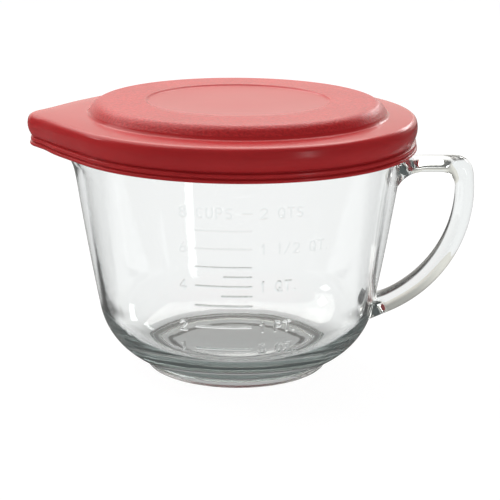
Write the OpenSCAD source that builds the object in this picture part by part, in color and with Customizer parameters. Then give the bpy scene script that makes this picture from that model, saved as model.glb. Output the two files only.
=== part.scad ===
// Two-quart glass measuring and batter bowl with a pouring spout, a loop handle and a push-on lid.
// The origin is the middle of the foot on the table: +Z up, +X towards the handle, -X towards the spout.
// The graduations stand where the inside really holds that many cups.

/* [Bowl] */
// Height of the glass rim above the table
rim_h = 145.2; // [142:0.1:149]
// Height of the thick bead round the rim
rim_bead_h = 9; // [7:0.5:11]
// Radius that rounds the top of the rim, inside and out
rim_round = 2.3; // [1.5:0.1:2.4]
// Outer radius of the wall at rim height, bead left out
wall_top_r = 96.6; // [90:0.1:105]
// How far the bead round the rim stands proud of the wall
rim_proud = 1; // [0.5:0.1:1.5]
// Outer radius of the wall where it leaves the belly
wall_low_r = 79.7; // [78:0.1:82]
// Height where the wall leaves the belly
wall_low_h = 35.3; // [33:0.1:38]
// How far the wall bows out of a straight cone half way up
wall_bow = 0.9; // [0:0.1:1.5]
// Thickness of the wall
wall_t = 4; // [3.5:0.1:4.5]
// Outer radius of the rounded belly
belly_r = 40; // [38:0.5:41]
// Inner radius between the floor and the wall
inside_r = 39; // [35:0.5:40]
// Height of the inside floor above the table
floor_h = 13.4; // [12:0.1:16]

/* [Foot] */
// Outer radius of the foot
foot_r = 52.7; // [50:0.1:56]
// Width of the ring that stands on the table
foot_ring_w = 7; // [5:0.5:10]
// Depth of the hollow under the foot
foot_hollow_h = 2; // [1:0.1:3]
// Radius on the foot's lower edges
foot_round = 0.8; // [0.4:0.1:1.2]

/* [Spout] */
// How far the spout reaches out past the round of the lid
spout_reach = 19; // [16:0.1:22]
// Radius of the lid round the spout's tip
lid_tip_r = 18; // [16:0.5:20]
// How far the spout's section stands back from the round of the rim, and below it
spout_back = 0.3; // [0.2:0.05:0.4]
// Height where the spout starts to leave the wall
spout_low_h = 97; // [90:1:104]
// How late the spout swings out: 1 is a straight slope
spout_swing = 2.4; // [1.6:0.1:3]

/* [Handle] */
// How far the handle reaches out past the wall's top
handle_room = 39.6; // [36:0.1:44]
// Drop from the rim to the handle's top
handle_drop = 22.6; // [21.5:0.1:25]
// Radius of the sweep on the handle's outer side
handle_outer_r = 78.7; // [77:0.1:80]
// Radius of the sweep on the handle's inner side
handle_inner_r = 67.3; // [66:0.1:68]
// Drop from the handle's top to the centre of the outer sweep
sweep_drop = 20.9; // [19.5:0.1:22]
// How much higher the centre of the inner sweep is, which thickens the handle's lower end
sweep_lift = 1.2; // [0.5:0.1:2]
// Thickness of the handle at its furthest reach
handle_t = 10.8; // [10:0.1:12]
// Thickness of the bar at the handle's top
handle_bar_t = 9.1; // [8.5:0.1:10]
// Width of the handle across
handle_w = 19; // [17:0.5:22]
// Outer radius of the handle's top corner
corner_outer_r = 10; // [9:0.5:11]
// Inner radius of the handle's top corner
corner_inner_r = 9; // [7:0.5:10]
// Reach along the bar of the web that blends it into the wall
handle_web = 14; // [10:0.5:16]
// Reach down the wall of that web
handle_web_h = 22; // [16:0.5:24]

/* [Scale] */
// Side of a cube that holds one cup
cup_side = 61.848; // [61:0.001:63]
// How far a graduation stands proud of the wall
mark_proud = 0.4; // [0.3:0.05:0.6]
// Height of a graduation line
mark_h = 0.7; // [0.5:0.1:1]
// Reach of the graduations to the right of the front's middle
mark_right = 8.3; // [5:0.1:12]
// Reach of the longest graduation to the left of the front's middle
mark_left = 22.5; // [18:0.5:28]

/* [Lid] */
// Gap between the rim's bead and the skirt's inner side
skirt_gap = 2.08; // [1.5:0.01:2.5]
// Height of the skirt from the flange's top to its lower edge
skirt_h = 18.8; // [17:0.1:20]
// Thickness of the lid's sheet
lid_t = 1.8; // [1.4:0.1:2.1]
// Radius of the shoulder between flange and skirt
shoulder_r = 5; // [4:0.5:6]
// Width of the flange round the raised panel
flange_w = 14.3; // [13:0.1:17]
// Width of the slope between the flange and the panel's top
panel_slope_w = 5.5; // [5:0.1:8]
// Height of the raised panel above the flange
panel_h = 7.4; // [6:0.1:9]
// Radius on the raised panel's upper edge
panel_round = 3.6; // [3:0.1:4]
// Radius of the shallow round recess in the panel
recess_r = 51.8; // [40:0.1:60]
// Depth of the recess
recess_depth = 1; // [0.6:0.1:1.2]
// Gap between the flange and the top of the rim
lid_clear = 0.35; // [0.3:0.05:0.45]
// Gap between the rim's bead and the skirt's inner ridge
snap_clear = 0.58; // [0.4:0.01:0.8]

/* [Hidden] */
$fn = 96;
overrun = 2;

glass = [0.80, 0.86, 0.85, 0.45];
red_plastic = [0.74, 0.13, 0.13];

// The skirt is a little thinner than the sheet where the lip's grooves are cut
groove_share = 0.9;
ridge_share = 0.25;

// Sizes of the lid and the handle follow from the rim
cup_volume = cup_side ^ 3;
rim_r = wall_top_r + rim_proud;
skirt_in_r = rim_r + skirt_gap;
snap_r = rim_r + snap_clear;
lid_r = skirt_in_r + groove_share * lid_t;
panel_foot_r = lid_r - flange_w;
panel_r = panel_foot_r - panel_slope_w;
tip_x = lid_r + spout_reach - lid_tip_r;
handle_top_h = rim_h - handle_drop;
handle_reach = wall_top_r + handle_room;
sweep_h = handle_top_h - sweep_drop;

// Points on an arc about c, from angle a to angle b
function arc(c, r, a, b, n, first = 0) =
    [for (i = [first:n]) c + r * [cos(a + (b - a) * i / n), sin(a + (b - a) * i / n)]];

// The wall: a cone that bows out a little, and its lean from the vertical
function wall_share(z) = (z - wall_low_h) / (rim_h - wall_low_h);
function wall_r(z) = wall_low_r + (wall_top_r - wall_low_r) * wall_share(z)
    + 4 * wall_bow * wall_share(z) * (1 - wall_share(z));
function wall_lean(z) =
    atan((wall_top_r - wall_low_r + 4 * wall_bow * (1 - 2 * wall_share(z))) / (rim_h - wall_low_h));

// The belly touches the wall's lower end and runs down to the foot
belly_lean = wall_lean(wall_low_h);
belly_c = [wall_low_r, wall_low_h] + belly_r * [-cos(belly_lean), sin(belly_lean)];
foot_h = belly_c.y - sqrt(belly_r ^ 2 - (foot_r - belly_c.x) ^ 2);
belly_end = atan2(foot_h - belly_c.y, foot_r - belly_c.x);

// The inside corner touches both the floor and the inner wall
function corner_top(z, n) = n == 0 ? z : corner_top(floor_h + inside_r * (1 - sin(wall_lean(z))), n - 1);
inside_top = corner_top(wall_low_h, 5);
inside_lean = wall_lean(inside_top);
floor_r = wall_r(inside_top) - wall_t - inside_r * cos(inside_lean);
inside_c = [floor_r, floor_h + inside_r];
function inner_r(z) = z < inside_top
    ? floor_r + sqrt(max(0, inside_r ^ 2 - (z - inside_c.y) ^ 2))
    : wall_r(z) - wall_t;

// Heights at which the bowl's inside holds so many cups, by summing thin discs
slices = 300;
slice_h = (rim_h - floor_h) / slices;
function disc(i) = PI * slice_h * inner_r(floor_h + (i + 0.5) * slice_h) ^ 2;
filled = [for (i = 0, v = 0; i <= slices; v = v + disc(i), i = i + 1)
    [v / cup_volume, floor_h + i * slice_h]];
function cup_height(cups) = lookup(cups, filled);

// Each graduation: its cups, and its reach to the left as a share of the longest line
mark_shares = [[8, -0.12], [7, 1], [6, 1], [5, 1], [4.5, 0.32], [4, 1], [3.5, 0.36], [3, 1], [2, 1], [1, 1]];

// Rim and lid share one plan: a circle, and two straight flanks that touch it and a rounded tip
core = lid_r - lid_tip_r;
flank_turn = acos(core / tip_x);
flank_l = tip_x * sin(flank_turn);

bead_low_h = rim_h - rim_bead_h;
taper_h = bead_low_h - (rim_r - wall_r(bead_low_h));
rim_inner_r = wall_r(taper_h) - wall_t;

function wall_points(from, to, off, n) =
    [for (i = [0:n]) [wall_r(from + (to - from) * i / n) - off, from + (to - from) * i / n]];

function bead_points() = concat(
    [[rim_r, bead_low_h]],
    arc([rim_r - rim_round, rim_h - rim_round], rim_round, 0, 90, 6));

function mouth_points() = arc([rim_inner_r + rim_round, rim_h - rim_round], rim_round, 180, 90, 6);

module outer_profile() polygon(concat(
    [[0, foot_hollow_h], [foot_r - foot_ring_w - foot_hollow_h, foot_hollow_h], [foot_r - foot_ring_w, 0]],
    arc([foot_r - foot_round, foot_round], foot_round, -90, 0, 4),
    arc(belly_c, belly_r, belly_end, -belly_lean, 16),
    wall_points(wall_low_h, taper_h, 0, 12),
    bead_points(),
    [[0, rim_h]]));

module inner_profile() polygon(concat(
    [[0, floor_h]],
    arc(inside_c, inside_r, -90, -inside_lean, 16),
    wall_points(inside_top, taper_h, wall_t, 12),
    mouth_points(),
    [[rim_inner_r + rim_round, rim_h + overrun], [0, rim_h + overrun]]));

// Carries a section, drawn at its distance from the axis, along the flanks and round the tip
module along_spout() {
    for (side = [-1, 1]) {
        rotate(180 + side * flank_turn)
            rotate([90, 0, 0])
                translate([0, 0, side > 0 ? 0 : -flank_l])
                    linear_extrude(flank_l)
                        children();
    }
    translate([-tip_x, 0, 0])
        rotate(180 - flank_turn)
            rotate_extrude(angle = 2 * flank_turn)
                translate([-core, 0])
                    children();
}

// One level of the spout: both flanks and the tip, swung out by a share of their full reach
function spout_share(z) = z >= taper_h ? 1 : ((z - spout_low_h) / (taper_h - spout_low_h)) ^ spout_swing;
function spout_level(z, r, share, n) = concat(
    [[-r / 2, r * sin(flank_turn) / 2, z], [-r * cos(flank_turn), r * sin(flank_turn), z]],
    [for (i = [0:n]) let (a = 180 - flank_turn + 2 * flank_turn * i / n)
        [-tip_x * share + (r - core * share) * cos(a), (r - core * share) * sin(a), z]],
    [[-r * cos(flank_turn), -r * sin(flank_turn), z], [-r / 2, -r * sin(flank_turn) / 2, z]]);

// A solid from rings of points that all have the same count
module skin(rings) {
    n = len(rings[0]);
    last = len(rings) - 1;
    points = [for (ring = rings) each ring];
    sides = [for (i = [0:last - 1], j = [0:n - 1]) let (k = (j + 1) % n)
        each [[i * n + j, (i + 1) * n + k, i * n + k], [i * n + j, (i + 1) * n + j, (i + 1) * n + k]]];
    polyhedron(points, concat([[for (j = [0:n - 1]) j]], [[for (j = [n - 1:-1:0]) last * n + j]], sides));
}

spout_levels = 10;
spout_steps = 16;
function spout_z(i) = spout_low_h + (taper_h - spout_low_h) * i / spout_levels;
module spout_solid() skin([for (i = [1:spout_levels])
    spout_level(spout_z(i), wall_r(spout_z(i)) - spout_back, spout_share(spout_z(i)), spout_steps)]);

module spout_hollow() skin([for (i = [1:spout_levels])
    spout_level(spout_z(i), wall_r(spout_z(i)) - wall_t - spout_back, spout_share(spout_z(i)), spout_steps)]);

module spout_rim() along_spout() translate([-spout_back, 0]) polygon(concat(
    [[wall_r(taper_h) - wall_t, taper_h], [wall_r(taper_h), taper_h]],
    bead_points(),
    [[wall_r(taper_h) - wall_t, rim_h]]));

// The spout's mouth: a cut round its edge, and a kite that clears the middle
module spout_mouth() {
    along_spout() translate([-spout_back, 0]) polygon(concat(
        [[core + spout_back, taper_h], [rim_inner_r, taper_h]],
        mouth_points(),
        [[rim_inner_r + rim_round, rim_h + overrun], [core + spout_back, rim_h + overrun]]));
    translate([0, 0, taper_h]) linear_extrude(rim_h + overrun - taper_h) polygon([
        [0, 0],
        (core + spout_back) * [-cos(flank_turn), sin(flank_turn)],
        [-tip_x - spout_back / cos(flank_turn), 0],
        (core + spout_back) * [-cos(flank_turn), -sin(flank_turn)]]);
}

// The handle's side view: an outer and an inner line with matching points, from the wall round to the wall
outer_c = [handle_reach - handle_outer_r, sweep_h];
inner_c = [handle_reach - handle_t - handle_inner_r, sweep_h + sweep_lift];
bar_low_h = handle_top_h - handle_bar_t;
outer_turn = asin((handle_top_h - corner_outer_r - outer_c.y) / (handle_outer_r - corner_outer_r));
inner_turn = asin((bar_low_h - corner_inner_r - inner_c.y) / (handle_inner_r - corner_inner_r));
outer_corner = outer_c + (handle_outer_r - corner_outer_r) * [cos(outer_turn), sin(outer_turn)];
inner_corner = inner_c + (handle_inner_r - corner_inner_r) * [cos(inner_turn), sin(inner_turn)];
root_x = wall_r(bar_low_h - handle_web_h) - wall_t / 2;
web_x = wall_r(bar_low_h) + handle_web;
outer_end_angle = end_angle(outer_c, handle_outer_r, wall_t);
inner_end_angle = end_angle(inner_c, handle_inner_r, 0.7 * wall_t);

// The sweep ends where it has gone deep enough into the glass
function glass_r(z) = z < wall_low_h
    ? belly_c.x + sqrt(max(0, belly_r ^ 2 - (z - belly_c.y) ^ 2))
    : wall_r(z);
function end_angle(c, r, deep) =
    [for (a = [-30:-0.5:-150]) if (c.x + r * cos(a) < glass_r(c.y + r * sin(a)) - deep) a][0];

function web_drop(x) = handle_web_h * (1 - sqrt(max(0, 1 - (max(0, web_x - x) / (web_x - root_x)) ^ 2)));

bar_steps = 7;
corner_steps = 6;
sweep_steps = 16;
outer_line = concat(
    [for (i = [0:bar_steps]) [root_x + (outer_corner.x - root_x) * i / bar_steps, handle_top_h]],
    arc(outer_corner, corner_outer_r, 90, outer_turn, corner_steps, 1),
    arc(outer_c, handle_outer_r, outer_turn, outer_end_angle, sweep_steps, 1));
inner_line = concat(
    [for (i = [0:bar_steps]) let (x = root_x + (inner_corner.x - root_x) * i / bar_steps)
        [x, bar_low_h - web_drop(x)]],
    arc(inner_corner, corner_inner_r, 90, inner_turn, corner_steps, 1),
    arc(inner_c, handle_inner_r, inner_turn, inner_end_angle, sweep_steps, 1));

// A strap section with soft faces and round edges, as a superellipse between the two lines
strap_power = 0.85;
strap_steps = 16;
function signed(v, p) = sign(v) * abs(v) ^ p;
function strap_ring(o, i) = [for (k = [0:strap_steps - 1]) let (
    a = 360 * (k + 0.5) / strap_steps,
    m = (o + i) / 2 + (o - i) / 2 * signed(cos(a), strap_power))
        [m.x, -handle_w / 2 * signed(sin(a), strap_power), m.y]];

module handle() skin([for (i = [0:len(outer_line) - 1]) strap_ring(outer_line[i], inner_line[i])]);

// Raised lines on the front of the wall
module graduations() {
    for (m = mark_shares) {
        z = cup_height(m[0]);
        r = wall_r(z);
        from = -90 - asin(mark_left * m[1] / r);
        to = -90 + asin(mark_right / r);
        rotate(from)
            rotate_extrude(angle = to - from)
                translate([r - wall_t / 4, z - mark_h / 2])
                    square([wall_t / 4 + mark_proud, mark_h]);
    }
}

module glass_bowl() color(glass) {
    difference() {
        union() {
            rotate_extrude() outer_profile();
            spout_solid();
            spout_rim();
            handle();
        }
        rotate_extrude() inner_profile();
        spout_hollow();
        spout_mouth();
    }
    graduations();
}

// The lid rests on the rim with its flange and hangs its skirt round the bead
lid_under_h = rim_h + lid_clear;
flange_h = lid_under_h + lid_t;
skirt_low_h = flange_h - skirt_h;
lip_step = skirt_h / 24;
flank_reach = lid_r + lid_tip_r;

// The outside from the flange's edge down over the shoulder and the two fine ridges of the lip
function lid_outside() = concat(
    arc([lid_r - shoulder_r, flange_h - shoulder_r], shoulder_r, 90, 0, 8),
    [
        [lid_r - lid_t / 2, skirt_low_h + 6.2 * lip_step],
        [lid_r - groove_share * lid_t, skirt_low_h + 5.3 * lip_step],
        [lid_r - ridge_share * lid_t, skirt_low_h + 4.3 * lip_step],
        [lid_r - ridge_share * lid_t, skirt_low_h + 3.2 * lip_step],
        [lid_r - groove_share * lid_t, skirt_low_h + 2.4 * lip_step],
        [lid_r + ridge_share * lid_t, skirt_low_h + 1.5 * lip_step],
        [lid_r + ridge_share * lid_t, skirt_low_h + 0.6 * lip_step],
        [lid_r, skirt_low_h]
    ]);

// The inside from below the lip up over the inner ridge to the flange's underside
function lid_inside() = concat(
    [
        [skirt_in_r + lid_t / 2, skirt_low_h - overrun],
        [skirt_in_r + lid_t / 2, skirt_low_h],
        [snap_r, skirt_low_h + 2.6 * lip_step],
        [snap_r, skirt_low_h + 5 * lip_step],
        [skirt_in_r, skirt_low_h + 8 * lip_step]
    ],
    arc([skirt_in_r - lid_t, lid_under_h - lid_t], lid_t, 0, 90, 4));

panel_top_h = flange_h + panel_h;
recess_h = panel_top_h - recess_depth;
slope_angle = 62;
module lid_outer_profile() polygon(concat(
    [[0, skirt_low_h], [0, recess_h], [recess_r - recess_depth / 2, recess_h], [recess_r, panel_top_h]],
    arc([panel_r - panel_round, panel_top_h - panel_round], panel_round, 90, 90 - slope_angle, 6),
    arc([panel_foot_r, flange_h + lid_t], lid_t, 270 - slope_angle, 270, 4),
    lid_outside()));

inner_round = panel_round - lid_t / 2;
module lid_inner_profile() polygon(concat(
    lid_inside(),
    [[panel_foot_r - lid_t / 2, lid_under_h]],
    arc([panel_r - lid_t / 2 - inner_round, panel_top_h - lid_t - inner_round],
        inner_round, 90 - slope_angle, 90, 6),
    [
        [recess_r + lid_t / 2, panel_top_h - lid_t],
        [recess_r - lid_t / 2, recess_h - lid_t],
        [0, recess_h - lid_t],
        [0, skirt_low_h - overrun]
    ]));

// A block over the spout, trimmed to a section along both flanks and round the tip
module spout_block(low, top) difference() {
    translate([0, 0, low]) linear_extrude(top - low) polygon([
        [0, 0],
        flank_reach * [-cos(flank_turn), sin(flank_turn)] - overrun * [sin(flank_turn), cos(flank_turn)],
        [-tip_x, 0] + (flank_reach - core) * [-cos(flank_turn), sin(flank_turn)],
        [-tip_x - (flank_reach - core) / cos(flank_turn), 0],
        [-tip_x, 0] + (flank_reach - core) * [-cos(flank_turn), -sin(flank_turn)],
        flank_reach * [-cos(flank_turn), -sin(flank_turn)] - overrun * [sin(flank_turn), -cos(flank_turn)]]);
    along_spout() children();
}

module outside_trim() polygon(concat(
    lid_outside(),
    [
        [lid_r, skirt_low_h - overrun],
        [flank_reach * 2, skirt_low_h - overrun],
        [flank_reach * 2, flange_h + overrun],
        [lid_r - shoulder_r, flange_h + overrun]
    ]));

module inside_trim() polygon(concat(
    [[skirt_in_r + lid_t / 2, skirt_low_h - 2 * overrun]],
    lid_inside(),
    [
        [skirt_in_r - lid_t, lid_under_h + overrun],
        [flank_reach * 2, lid_under_h + overrun],
        [flank_reach * 2, skirt_low_h - 2 * overrun]
    ]));

module lid() color(red_plastic) difference() {
    union() {
        rotate_extrude() lid_outer_profile();
        translate([0, 0, -spout_back])
            spout_block(skirt_low_h, flange_h)
                translate([-spout_back, 0])
                    outside_trim();
    }
    rotate_extrude() lid_inner_profile();
    translate([0, 0, -spout_back])
        spout_block(skirt_low_h - overrun, lid_under_h)
            translate([-spout_back, 0])
                inside_trim();
}

glass_bowl();
lid();
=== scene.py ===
from math import acos, degrees, pi, radians, sin, cos

import bmesh
import bpy
import numpy as np
from mathutils import Matrix, Vector


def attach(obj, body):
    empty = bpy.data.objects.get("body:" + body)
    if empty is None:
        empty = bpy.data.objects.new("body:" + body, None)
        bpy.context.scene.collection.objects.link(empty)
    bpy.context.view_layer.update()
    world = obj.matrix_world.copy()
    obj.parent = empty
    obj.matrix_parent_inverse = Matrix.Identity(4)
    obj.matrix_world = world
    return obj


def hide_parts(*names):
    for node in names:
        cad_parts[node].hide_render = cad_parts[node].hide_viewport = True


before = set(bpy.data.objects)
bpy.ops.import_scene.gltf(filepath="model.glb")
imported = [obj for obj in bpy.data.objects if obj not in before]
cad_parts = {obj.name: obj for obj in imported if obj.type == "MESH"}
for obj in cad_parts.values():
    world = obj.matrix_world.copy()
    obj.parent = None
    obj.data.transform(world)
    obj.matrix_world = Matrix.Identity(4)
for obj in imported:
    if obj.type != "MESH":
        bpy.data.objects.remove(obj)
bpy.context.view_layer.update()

mm = 0.001


# Small helpers that every piece uses

def smoothStep(low, high, value):
    # 0 below low, 1 above high, and an S curve between them
    share = np.clip((value - low) / (high - low), 0.0, 1.0)
    return share * share * (3.0 - 2.0 * share)


def arcPoints(centre, radius, start, end, count):
    # points on a circle from the start angle to the end angle, in degrees
    turn = np.radians(np.linspace(start, end, count))
    return np.column_stack([centre[0] + radius * np.cos(turn), centre[1] + radius * np.sin(turn)])


def makeObject(name, points, faces):
    # points come in millimetres, faces as lists of point numbers
    mesh = bpy.data.meshes.new(name)
    mesh.from_pydata((np.asarray(points) * mm).tolist(), [], faces)
    mesh.update()
    mesh.shade_smooth()
    piece = bpy.data.objects.new(name, mesh)
    bpy.context.scene.collection.objects.link(piece)
    return piece


def ringFaces(rows, columns, start=0):
    # quads between each row of points and the next, with the columns closed into a ring
    index = start + np.arange(rows * columns).reshape(rows, columns)
    beside = np.roll(index, -1, axis=1)
    quads = np.stack([index[:-1], beside[:-1], beside[1:], index[1:]], axis=-1)
    return quads.reshape(-1, 4).tolist()


def closedRings(name, rings, firstPole, lastPole):
    # a closed skin: rings[row, column] are points, and a fan of triangles closes each end on its pole
    rows, columns = rings.shape[:2]
    points = np.concatenate([rings.reshape(-1, 3), [firstPole, lastPole]])
    faces = ringFaces(rows, columns)
    first, last = rows * columns, rows * columns + 1
    top = (rows - 1) * columns
    for column in range(columns):
        beside = (column + 1) % columns
        faces.append([first, beside, column])
        faces.append([last, top + column, top + beside])
    return makeObject(name, points, faces)


def applyModifier(piece, modifier):
    # the modifier's result becomes the piece's own mesh
    graph = bpy.context.evaluated_depsgraph_get()
    mesh = bpy.data.meshes.new_from_object(piece.evaluated_get(graph))
    piece.modifiers.remove(modifier)
    old = piece.data
    piece.data = mesh
    bpy.data.meshes.remove(old)


# The plan that rim and lid share: a circle, and flanks that run from it to a rounded spout tip

plan = {
    "lidRadius": 101.3,       # mm, the round of the lid's skirt
    "tipRadius": 18.0,        # mm, of the lid round the spout
    "tipCentre": 102.3,       # mm from the bowl's axis
    "standsBack": 0.3,        # mm, spout section inside the round one
    "leaves": (3.0, 12.0),    # mm out of the round over which it comes to stand back
    "flankLimit": 1.2,        # radians from its foot beyond which a flank isn't followed
    "tipZone": 6.5,           # degrees to either side of the tip, with the closest columns
    "spoutZone": 38.0,        # degrees to either side of the tip, for the rest of the spout
}
planCore = plan["lidRadius"] - plan["tipRadius"]
planTurn = acos(planCore / plan["tipCentre"])


def planReach(angle, radius, share):
    # distance from the axis to the plan's outline in the direction of angle, where the outline is a circle
    # of the given radius, a circle of the radius less core * share round the tip's centre * share, and the
    # straight flanks that touch both
    off = np.abs(np.mod(angle, 2 * pi) - pi)
    centre = plan["tipCentre"] * share
    small = radius - planCore * share
    corner = np.arctan2(small * sin(planTurn), centre + small * cos(planTurn))
    flank = radius / np.cos(np.minimum(np.abs(planTurn - off), plan["flankLimit"]))
    inside = np.maximum(small * small - (centre * np.sin(off)) ** 2, 0.0)
    tip = centre * np.cos(off) + np.sqrt(inside)
    return np.where(off >= planTurn, radius, np.where(off >= corner, flank, tip))


def planColumns(coarse, fine, finest):
    # angles round the axis, closest together where the spout's tip turns
    off = np.concatenate([
        np.arange(0.0, plan["tipZone"], finest), np.arange(plan["tipZone"], plan["spoutZone"], fine),
        np.arange(plan["spoutZone"], 180.0, coarse)])
    return np.radians(180.0 + np.concatenate([-off[:0:-1], off]))


# The glass bowl

bowl = {
    "rimHeight": 145.2,       # mm above the table
    "wallTop": 96.6,          # mm, outer radius at rim height
    "wallLow": 79.7,          # mm, outer radius where the belly starts
    "wallLowHeight": 35.3,    # mm
    "wallBow": 0.9,           # mm out of a straight cone
    "wallThickness": 4.0,     # mm
    "rimProud": 1.0,          # mm, bead over wall
    "beadHeight": 9.0,        # mm
    "rimRound": 2.3,          # mm
    "bellyRadius": 40.0,      # mm
    "insideRadius": 39.0,     # mm, as the solid has it, for what the bowl holds
    "cornerRadius": 30.0,     # mm, the inside corner as the photo's refraction shows it
    "floorHeight": 13.4,      # mm
    "footRadius": 52.7,       # mm
    "footRing": 7.0,          # mm wide
    "footHollow": 2.0,        # mm deep
    "footRound": 0.8,         # mm
    "hollowRound": 0.7,       # mm
    "hollowTurns": (80, 20, 200, 270),  # degrees, from and to, of the rounds at its edge and foot
    "hollowRings": (12.0, 24.0, 34.0),  # mm, radii
    "cove": ((0.0, -1.2), (0.05, -0.5)),  # mm out of the foot's side and up from the belly's end
    "coveTurn": 0.5,          # degrees of belly that the cove takes up
    "spoutStart": 97.0,       # mm, height where the spout leaves the wall
    "spoutSwing": 6.5,        # power of its curve
    "hollowEdge": (2.0, 1.0), # mm inside the foot ring, the hollow's last ring and its edge
    "footFlat": 0.45,         # of the foot ring's width, where it has a ring of its own
    "beadRing": 0.35,         # of the bead's height, the same
    "mouthRing": 3.0,         # mm over the foot of the rim, a ring inside
    "floorRings": (34.0, 26.0, 18.0, 9.0),  # mm, radii
    "ringStep": 4.0,          # mm between rings up the wall
    "arcs": (3, 4, 5, 25, 8, 44),  # points round the hollow's edge and foot, foot, belly, rim and corner
    "columns": (3.0, 1.6, 0.55),  # degrees between columns: round, at the spout and at its tip
}

handle = {
    "reach": 136.05,          # mm from the axis
    "topHeight": 122.6,       # mm
    "outerRadius": 78.7,      # mm, sweep
    "innerRadius": 67.3,      # mm, sweep
    "outerCentre": 101.7,     # mm high
    "innerCentre": 102.9,     # mm high
    "thickness": 10.8,        # mm at the furthest reach
    "barThickness": 9.1,      # mm
    "width": 19.0,            # mm
    "outerCorner": 10.0,      # mm
    "innerCorner": 9.0,       # mm
    "web": 14.0,              # mm along the bar
    "webHeight": 22.0,        # mm down the wall
    "power": 0.97,            # of the section's superellipse
    "flare": 5.0,             # mm that each root spreads to the sides
    "flareLength": 9.0,       # mm over which it does
    "flareLimit": 1.6,        # where the spread stops inside the wall, as a share of that length
    "rootDepth": (1.0, 0.7),  # shares of the wall that the sweep's outer and inner line go into it
    "endTurns": (-30.0, -150.0, -0.5),  # degrees, start, end and step of the search for the sweep's end
    "steps": (24, 12, 54),    # points along bar, corner and sweep
    "around": 40,             # points round the section
}

wallSpan = bowl["rimHeight"] - bowl["wallLowHeight"]


def wallRadius(height):
    # a cone that bows out a little half way up
    share = (height - bowl["wallLowHeight"]) / wallSpan
    cone = bowl["wallLow"] + (bowl["wallTop"] - bowl["wallLow"]) * share
    return cone + 4.0 * bowl["wallBow"] * share * (1.0 - share)


def wallLean(height):
    # the wall's angle from the vertical, in degrees
    share = (height - bowl["wallLowHeight"]) / wallSpan
    rise = bowl["wallTop"] - bowl["wallLow"] + 4.0 * bowl["wallBow"] * (1.0 - 2.0 * share)
    return degrees(np.arctan(rise / wallSpan))


bellyLean = wallLean(bowl["wallLowHeight"])
bellyCentre = (
    bowl["wallLow"] - bowl["bellyRadius"] * cos(radians(bellyLean)),
    bowl["wallLowHeight"] + bowl["bellyRadius"] * sin(radians(bellyLean)))
footHeight = bellyCentre[1] - (bowl["bellyRadius"] ** 2 - (bowl["footRadius"] - bellyCentre[0]) ** 2) ** 0.5
bellyEnd = degrees(np.arctan2(footHeight - bellyCentre[1], bowl["footRadius"] - bellyCentre[0]))


def insideCorner(radius):
    # where the inside corner of the given radius meets the wall, the wall's lean there and the flat floor's
    # radius; the height and the lean settle in a few rounds
    top = bowl["wallLowHeight"]
    for _ in range(5):
        top = bowl["floorHeight"] + radius * (1.0 - sin(radians(wallLean(top))))
    lean = wallLean(top)
    return top, lean, wallRadius(top) - bowl["wallThickness"] - radius * cos(radians(lean))


cornerTop, cornerLean, floorRadius = insideCorner(bowl["cornerRadius"])

rimOuter = bowl["wallTop"] + bowl["rimProud"]
beadLow = bowl["rimHeight"] - bowl["beadHeight"]
taperHeight = beadLow - (rimOuter - wallRadius(beadLow))
rimInner = wallRadius(taperHeight) - bowl["wallThickness"]


def spoutShare(height):
    # how far the spout has swung out at a height, from 0 to 1
    rise = np.clip((height - bowl["spoutStart"]) / (taperHeight - bowl["spoutStart"]), 0.0, 1.0)
    return rise ** bowl["spoutSwing"]


def outerGlassRadius(height):
    # the outside of belly and wall, as a radius at each height
    drop = np.clip(bowl["bellyRadius"] ** 2 - (height - bellyCentre[1]) ** 2, 0.0, None)
    return np.where(height < bowl["wallLowHeight"], bellyCentre[0] + np.sqrt(drop), wallRadius(height))


def bowlProfile():
    # radius and height of each ring: out along the underside, up the outside, over the rim, down the inside
    ringInner = bowl["footRadius"] - bowl["footRing"]
    hollow, soft = bowl["footHollow"], bowl["hollowRound"]
    foot, rounds, arcs = bowl["footRound"], bowl["rimRound"], bowl["arcs"]
    lastRing, edge = (ringInner - inside for inside in bowl["hollowEdge"])
    outerHeights = np.arange(bowl["wallLowHeight"], taperHeight, bowl["ringStep"])[1:]
    innerHeights = np.arange(cornerTop, taperHeight, bowl["ringStep"])[1:][::-1]
    return np.concatenate([
        [[r, hollow] for r in (*bowl["hollowRings"], lastRing)],
        arcPoints((edge, hollow - soft), soft, *bowl["hollowTurns"][:2], arcs[0]),
        arcPoints((ringInner + soft, soft), soft, *bowl["hollowTurns"][2:], arcs[1]),
        [[ringInner + bowl["footFlat"] * bowl["footRing"], 0.0]],
        arcPoints((bowl["footRadius"] - foot, foot), foot, -90, 0, arcs[2]),
        [[bowl["footRadius"] + out, footHeight + up] for out, up in bowl["cove"]],
        arcPoints(bellyCentre, bowl["bellyRadius"], bellyEnd + bowl["coveTurn"], -bellyLean, arcs[3]),
        np.column_stack([wallRadius(outerHeights), outerHeights]),
        [[wallRadius(taperHeight), taperHeight], [rimOuter, beadLow]],
        [[rimOuter, beadLow + bowl["beadRing"] * bowl["beadHeight"]]],
        arcPoints((rimOuter - rounds, bowl["rimHeight"] - rounds), rounds, 0, 90, arcs[4]),
        arcPoints((rimInner + rounds, bowl["rimHeight"] - rounds), rounds, 90, 180, arcs[4]),
        [[rimInner, taperHeight + bowl["mouthRing"]], [rimInner, taperHeight]],
        np.column_stack([wallRadius(innerHeights) - bowl["wallThickness"], innerHeights]),
        arcPoints((floorRadius, bowl["floorHeight"] + bowl["cornerRadius"]), bowl["cornerRadius"],
                  -cornerLean, -90, arcs[5]),
        [[r, bowl["floorHeight"]] for r in bowl["floorRings"]],
    ])


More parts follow.
